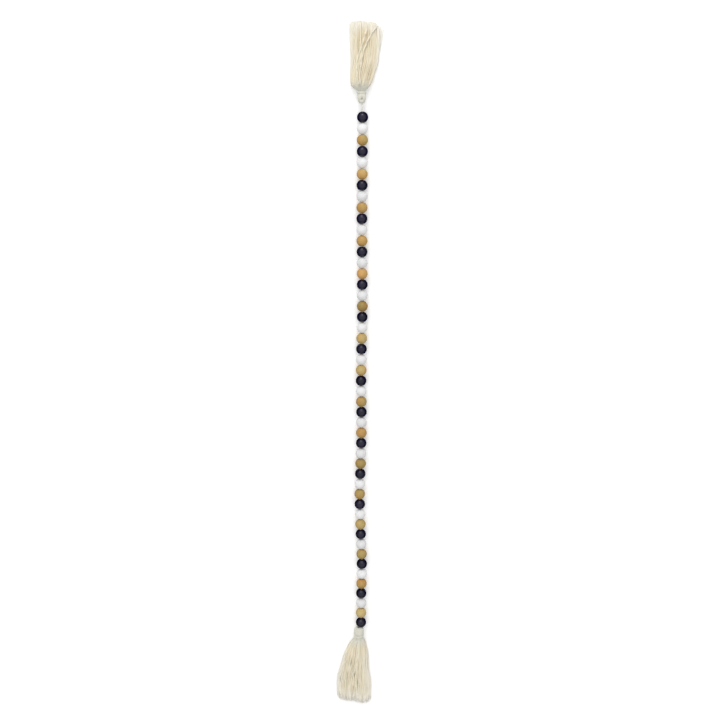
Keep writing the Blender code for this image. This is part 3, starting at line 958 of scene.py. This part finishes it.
def strand_courses(tassel, strand, chance):
    """Courses of a strand's yarns, which lie on the skirt or beside it, wound round each other."""
    along = yarn_run(strand.route[-1].along)
    radius = yarn_radii(along, strand.radius)
    left, right = skirt_sections(tassel, along)[:2]
    route = ((NECK_START, tassel.neck_centre), (NECK_END, tassel.neck_centre), *strand.route)
    across = (smooth_rows(route, along)[:, 0] - (left + right) / 2) / ((right - left) / 2 - radius)
    x, z = yarn_places(tassel, across, np.full(len(along), strand.up), along, radius)
    spacing = strand.radius * STRAND_SPACING * min(1, strand.yarns - 1)
    offset = spacing * ease(NECK_END, FULL_YARN_REACH, along)
    start = chance.uniform(0, 2 * math.pi)
    for number in range(strand.yarns):
        turn = 2 * math.pi * (number / strand.yarns - along / STRAND_TURN) + start
        yield along, x + offset * np.cos(turn), np.maximum(z + offset * (1 + np.sin(turn)), radius), radius


def surface_strand(tassel, chance):
    """One yarn that lies slantwise over the others."""
    across = chance.uniform(*SURFACE_PLACES)
    lean = chance.uniform(*SURFACE_LEANS) * (1 if tassel.sweep > 0 else chance.choice((-1, 1)))
    end = yarn_end(tassel, across + lean) - chance.uniform(*SURFACE_CUTS)
    along = np.array([section.along for section in tassel.skirt[:-1]] + [end])
    left, right = skirt_sections(tassel, along)[:2]
    share = (along - NECK_END) / (end - NECK_END)
    x = (left + right) / 2 + (right - left) / 2 * (across + lean * share)
    route = tuple(Waypoint(*place) for place in zip(along, x))
    return Strand(route, 1, YARN_RADIUS, chance.uniform(*SURFACE_HEIGHTS), chance.random())


def depth_shade(tassel, along, x):
    """Painted shade along a yarn: the cotton's tone is deeper by the neck, and where the mass is pressed in.
    """
    shade = SHADED_TONE * (1 - ease(NECK_END, SHADED_REACH, along))
    for hollow in tassel.hollows:
        near = ((along - hollow.along) / hollow.length) ** 2 + ((x - hollow.x) / hollow.width) ** 2
        shade += hollow.depth * np.exp(-near)
    return shade


def paleness(tassel, along, x):
    """How far the yarn pales: at the sides, painted light where light would pass through thin yarn, and
    towards the cut end, paler frayed cotton with painted light in it too.
    """
    left, right = skirt_sections(tassel, along)[:2]
    aside = np.abs(2 * x - left - right) / (right - left)
    sides = PALE_LIT_SIDES * ease(PALE_LIT_SIDES_START, 1.0, aside)
    ends = PALE_ENDS * ease(along[-1] - PALE_END_REACH, along[-1], along)
    return np.maximum(sides, ends)


def add_frayed_end(surface, path, radius, chance):
    """The plies part a little at a cut end."""
    run = path[-1] - path[-2]
    run = run / np.linalg.norm(run)
    side = np.array([run[1], -run[0], 0.0])
    rise = np.cross(side, run)
    steps = np.linspace(0.0, 1.0, len(FRAY_WIDTHS))[:, None]
    opening = FRAY_START + (1 - FRAY_START) * steps ** 2
    start = chance.uniform(0.0, 2 * math.pi)
    for number in range(YARN_PLIES):
        turn = start + 2 * math.pi * number / YARN_PLIES
        away = (side * math.cos(turn) + rise * math.sin(turn)) * radius * chance.uniform(*FRAY_SPREADS)
        length = chance.uniform(*FRAY_LENGTHS)
        ply = path[-1] + run * (steps * length - radius) + away * opening
        ply[:, 2] = np.maximum(ply[:, 2], radius * max(FRAY_WIDTHS))
        add_tube(surface, ply, radius * np.array(FRAY_WIDTHS), FRAY_SIDES, slot=LINT_SLOT)


def add_fibres(surface, paths, count, first_share, chance):
    """Fine curved fibres that stand off the yarns, from a share of their length onwards."""
    steps = np.linspace(0.0, 1.0, FIBRE_POINTS)[:, None]
    for _ in range(count):
        path = chance.choice(paths)
        start = chance.randrange(int(first_share * len(path)), len(path) - 1)
        run = path[start + 1] - path[start]
        run = run / np.linalg.norm(run)
        out = np.array([chance.uniform(*limits) for limits in FIBRE_LEANS])
        bend = np.array([chance.uniform(*FIBRE_SIDE_BENDS), 0.0, chance.uniform(*FIBRE_DROPS)])
        length = chance.uniform(*FIBRE_LENGTHS)
        fibre = path[start] + (run * steps + out * steps ** 1.5 + bend * steps ** 3) * length
        fibre[:, 2] = np.maximum(fibre[:, 2], 2 * FIBRE_RADIUS)
        add_tube(surface, fibre, FIBRE_RADIUS, FIBRE_SIDES, slot=LINT_SLOT)


class TasselYarns:
    """The yarns of one tassel, laid out from its tip along the garland."""

    def __init__(self, tassel, tip, direction):
        self.tassel = tassel
        self.tip = tip
        self.direction = direction
        self.chance = random.Random(tassel.seed)
        self.locks = make_locks(self.chance)
        self.surface = Surface()
        self.paths = []

    def add(self, course, tone):
        along, x, z, radius = course
        path = np.stack((x, self.tip + self.direction * along, z), -1)
        # Painted shade, which also takes away some of the paleness
        shade = depth_shade(self.tassel, along, x)
        add_tube(self.surface, path, radius, tone=tone - self.tassel.deepening - shade,
                 pale=paleness(self.tassel, along, x) - shade,
                 worn=1 - ease(NECK_END, GREY_REACH, along), shift=self.chance.uniform(0.0, YARN_TURN))
        add_frayed_end(self.surface, path, radius[-1], self.chance)
        self.paths.append(path[-YARN_POINTS:])

    def skirt_course(self, across, up):
        lock = nearest_lock(self.locks, across, up)
        end = yarn_end(self.tassel, across) + self.chance.uniform(-LENGTH_SPREAD, 0.0)
        chance_tone = LOCK_TONE_SHARE * lock.tone + (1 - LOCK_TONE_SHARE) * self.chance.random()
        tone = MIDDLE_TONE + self.tassel.tone_spread * (chance_tone - MIDDLE_TONE)
        return skirt_yarn(self.tassel, across, up, lock, end, self.chance), tone

    def add_head_yarns(self):
        """Outer yarns run over the head, under the binding and on into the skirt."""
        for number in range(HEAD_YARNS):
            around = 2 * math.pi * (number + self.chance.uniform(-HEAD_JITTER, HEAD_JITTER)) / HEAD_YARNS
            course, tone = self.skirt_course(*square_place(around))
            over = head_yarn(self.tassel, around)
            self.add([np.concatenate((head, skirt[1:])) for head, skirt in zip(over, course)], tone)

    def add_inner_yarns(self):
        """Inner yarns start in the neck, in rows and columns that are a little uneven."""
        for column in range(YARN_COLUMNS):
            for row in range(YARN_ROWS):
                stagger = ROW_STAGGER if row % 2 else -ROW_STAGGER
                place = column + 0.5 + stagger + self.chance.uniform(-COLUMN_JITTER, COLUMN_JITTER)
                across = -1 + 2 * place / YARN_COLUMNS
                up = -1 + 2 * (row + 0.5 + self.chance.uniform(-ROW_JITTER, ROW_JITTER)) / YARN_ROWS
                self.add(*self.skirt_course(max(-INNER_LIMIT, min(INNER_LIMIT, across)), up))

    def add_strands(self):
        strands = [surface_strand(self.tassel, self.chance) for _ in range(SURFACE_YARNS)]
        for strand in (*self.tassel.strands, *strands):
            for course in strand_courses(self.tassel, strand, self.chance):
                self.add(course, strand.tone)

    def finish(self, yarn, lint):
        self.add_head_yarns()
        self.add_inner_yarns()
        self.add_strands()
        add_fibres(self.surface, self.paths, SIDE_FIBRES, SIDE_FIBRES_FROM, self.chance)
        add_fibres(self.surface, self.paths, END_FIBRES, END_FIBRES_FROM, self.chance)
        piece = self.surface.finish("yarn_tassel_" + self.tassel.name, yarn, lint)
        stand_for(piece, "tassel_" + self.tassel.name)


def add_binding(tassel, tip, direction, material):
    """Two layers of yarn wound side by side round the neck, with their ends tucked under."""
    length = NECK_END - NECK_START - 2 * BINDING_YARN_RADIUS
    share = np.linspace(0.0, 1.0, BINDING_TURNS * BINDING_POINTS_PER_TURN)
    turn = 2 * math.pi * BINDING_TURNS * share
    outer = tassel.neck_radius + BINDING_THICKNESS
    risen = ease(0.0, BINDING_TUCK_SHARE, share) * ease(1.0, 1 - BINDING_TUCK_SHARE, share)
    tuck = BINDING_TUCK * (1 - risen)
    along = (NECK_START + NECK_END) / 2 + length * (share - 0.5)
    surface = Surface()
    for layer in range(BINDING_LAYERS):
        radius = outer - BINDING_YARN_RADIUS * (1 + BINDING_LAYER_STEP * layer) - tuck
        path = np.stack((tassel.neck_centre + radius * np.cos(turn + layer), tip + direction * along,
                         outer + radius * np.sin(turn + layer)), -1)
        add_tube(surface, path, BINDING_YARN_RADIUS, BINDING_SIDES, reference=(0.0, 1.0, 0.0),
                 tone=BINDING_TONE, worn=1.0)
    piece = surface.finish("wound_binding_" + tassel.name, material)
    stand_for(piece, "binding_" + tassel.name)


# Studio

def add_camera():
    data = bpy.data.cameras.new("photo_camera")
    data.sensor_width = SENSOR_WIDTH
    data.lens = SENSOR_WIDTH * FOCAL_PIXELS / FRAME_PIXELS
    data.clip_start = CAMERA_NEAREST
    camera = bpy.data.objects.new("photo_camera", data)
    camera.location = CAMERA_PLACE
    camera.rotation_euler = (-CAMERA_TILT, 0.0, 0.0)
    bpy.context.scene.collection.objects.link(camera)
    bpy.context.scene.camera = camera


def add_floor():
    """A pale lit surface, which polished paint doesn't mirror."""
    size = FLOOR_HALF_SIZE
    corners = [(-size, -size, 0), (size, -size, 0), (size, size, 0), (-size, size, 0)]
    mesh = bpy.data.meshes.new("floor")
    mesh.from_pydata(corners, [], [(0, 1, 2, 3)])
    mesh.materials.append(floor_paper())
    floor = bpy.data.objects.new("floor", mesh)
    floor.visible_glossy = False
    bpy.context.scene.collection.objects.link(floor)


def add_sky():
    """Light that grows from the horizon to overhead, before a plain pale backdrop."""
    world = bpy.data.worlds.new("studio")
    nodes = Nodes(world)
    place = nodes.add("TexCoord").outputs["Generated"]
    height = nodes.add("SeparateXYZ", (), {"Vector": place}).outputs["Z"]
    glow = nodes.range(height, SKY_EDGE_LOW, SKY_EDGE_HIGH, 0.0, SKY_GLOW)
    seen = nodes.add("LightPath").outputs["Is Camera Ray"]
    strength = nodes.mix_numbers(seen, glow, BACKDROP_GLOW)
    nodes.fill(nodes.tree.nodes["Background"], {"Color": (1.0, 1.0, 1.0, 1.0)}, {"Strength": strength})
    bpy.context.scene.world = world


def add_soft_light():
    data = bpy.data.lights.new("soft_light", "SUN")
    data.angle = SOFT_LIGHT_SPREAD
    data.energy = SOFT_LIGHT_POWER
    light = bpy.data.objects.new("soft_light", data)
    light.rotation_euler = SOFT_LIGHT_TOWARDS.to_track_quat("Z", "Y").to_euler()
    bpy.context.scene.collection.objects.link(light)


def add_soft_box():
    """It lights the upper beads most, whose paint shows the brightest gloss."""
    data = bpy.data.lights.new("soft_box", "AREA")
    data.shape = "RECTANGLE"
    data.size, data.size_y = SOFT_BOX_SIZE
    data.energy = SOFT_BOX_POWER
    light = bpy.data.objects.new("soft_box", data)
    light.location = SOFT_BOX_PLACE
    light.rotation_euler = (SOFT_BOX_PLACE - SOFT_BOX_TARGET).to_track_quat("Z", "Y").to_euler()
    bpy.context.scene.collection.objects.link(light)


def main():
    bpy.context.scene.view_settings.view_transform = "Standard"
    add_camera()
    add_floor()
    add_sky()
    add_soft_light()
    add_soft_box()
    cord_yarn = twisted_yarn(CORD_COTTON)
    tassel_yarn = twisted_yarn(TASSEL_COTTON)
    lint = cotton_lint()
    ends = (
        (TOP_TASSEL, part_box("tassel_top")[0][1], 1),
        (BOTTOM_TASSEL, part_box("tassel_bottom")[1][1], -1),
    )
    for tassel, tip, direction in ends:
        TasselYarns(tassel, tip, direction).finish(tassel_yarn, lint)
        add_binding(tassel, tip, direction, cord_yarn)
    add_cord(cord_yarn)
    add_beads()


main()
